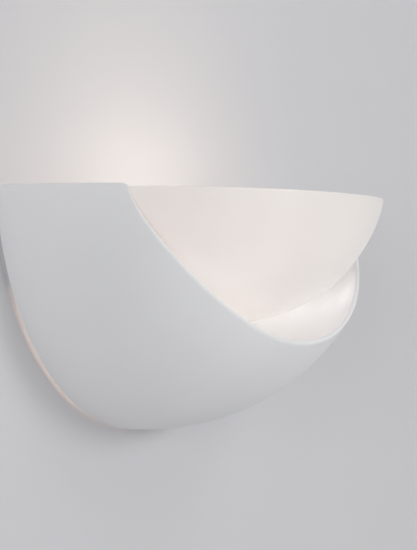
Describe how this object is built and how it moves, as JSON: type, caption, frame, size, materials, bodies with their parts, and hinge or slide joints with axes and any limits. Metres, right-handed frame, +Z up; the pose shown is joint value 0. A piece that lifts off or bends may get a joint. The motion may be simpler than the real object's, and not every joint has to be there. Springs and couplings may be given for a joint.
{
  "type": "uplighter wall sconce",
  "caption": "Wall uplighter with an opal glass half bowl nested in a scooped white metal half-bowl shell, over a wall plate with a linear lamp.",
  "frame": {"origin": "midpoint between the two fixing slots, on the back face of the wall plate, which lies on the wall", "axes": "+Z up, -Y out of the wall into the room, +X to the right seen by a viewer facing the wall"},
  "size_m": [0.36, 0.1609, 0.162],
  "materials": {
    "shell_paint": "fine matte powder coat, off-white",
    "opal_glass": "satin opal, translucent",
    "zinc_steel": "bright zinc plated",
    "galvanised_sheet": "galvanised sheet, dull",
    "nut_plating": "nickel plated, knurled",
    "silicone": "clear to milky silicone, matte",
    "nylon": "natural nylon",
    "grommet_rubber": "matte black rubber",
    "block_plastic": "white polyamide",
    "button_plastic": "grey polyamide",
    "contact_brass": "plain brass",
    "brown_insulation": "brown silicone sleeving",
    "blue_insulation": "blue sleeving",
    "green_yellow_insulation": "green sleeving with a yellow band",
    "reflector_metal": "bright anodised, hammered",
    "holder_ceramic": "unglazed steatite",
    "contact_silver": "silver plated",
    "lamp_quartz": "clear quartz",
    "cap_ceramic": "unglazed ceramic",
    "filament": "lit coil"
  },
  "bodies": {
    "wall_frame": {"wall_plate": "galvanised_sheet", "plate_studs": "zinc_steel", "cable_grommet": "grommet_rubber", "terminal_block": "block_plastic", "terminal_contacts": "contact_brass", "earth_screw": "contact_brass", "earth_washer": "zinc_steel", "earth_tag": "zinc_steel", "live_wire": "brown_insulation", "neutral_wire": "blue_insulation", "earth_wire": "green_yellow_insulation", "lamp_bracket": "galvanised_sheet", "bracket_screws": "zinc_steel", "reflector": "reflector_metal", "holder_left": "holder_ceramic", "holder_right": "holder_ceramic", "holder_screws": "zinc_steel", "contact_fixed": "contact_silver", "stud_washers": "nylon"},
    "shade": {"outer_shell": "shell_paint", "shell_tabs": "zinc_steel", "glass_bowl": "opal_glass", "glass_cradle": "zinc_steel", "cradle_pads": "silicone", "rim_pads": "silicone", "wall_bumpers": "silicone"},
    "nut_left": {"thumb_nut_left": "nut_plating"},
    "nut_right": {"thumb_nut_right": "nut_plating"},
    "plunger": {"contact_plunger": "contact_silver"},
    "lamp": {"lamp_tube": "lamp_quartz", "lamp_caps": "cap_ceramic", "lamp_filament": "filament"},
    "button_1": {"release_button_1": "button_plastic"},
    "button_2": {"release_button_2": "button_plastic"},
    "button_3": {"release_button_3": "button_plastic"}
  },
  "joints": [
    {"name": "shade_lift", "type": "slide", "parent": "wall_frame", "child": "shade", "axis": [0, 0, 1], "range_m": [0, 0.012]},
    {"name": "nut_left_turn", "type": "hinge", "parent": "wall_frame", "child": "nut_left", "pos_m": [-0.106, -0.008, 0.006], "axis": [0, 1, 0], "continuous": true},
    {"name": "nut_right_turn", "type": "hinge", "parent": "wall_frame", "child": "nut_right", "pos_m": [0.106, -0.008, 0.006], "axis": [0, 1, 0], "continuous": true},
    {"name": "lamp_push", "type": "slide", "parent": "wall_frame", "child": "lamp", "axis": [1, 0, 0], "range_m": [0, 0.0035], "stiffness_N_per_m": 800, "springref_m": -0.003},
    {"name": "plunger_slide", "type": "slide", "parent": "wall_frame", "child": "plunger", "axis": [1, 0, 0], "range_m": [0, 0.0035]},
    {"name": "release_1", "type": "slide", "parent": "wall_frame", "child": "button_1", "axis": [0, 1, 0], "range_m": [0, 0.0012], "stiffness_N_per_m": 1500, "springref_m": -0.0008},
    {"name": "release_2", "type": "slide", "parent": "wall_frame", "child": "button_2", "axis": [0, 1, 0], "range_m": [0, 0.0012], "stiffness_N_per_m": 1500, "springref_m": -0.0008},
    {"name": "release_3", "type": "slide", "parent": "wall_frame", "child": "button_3", "axis": [0, 1, 0], "range_m": [0, 0.0012], "stiffness_N_per_m": 1500, "springref_m": -0.0008}
  ],
  "couplings": [
    {"joint": "plunger_slide", "follows": "lamp_push", "ratio": 1}
  ]
}
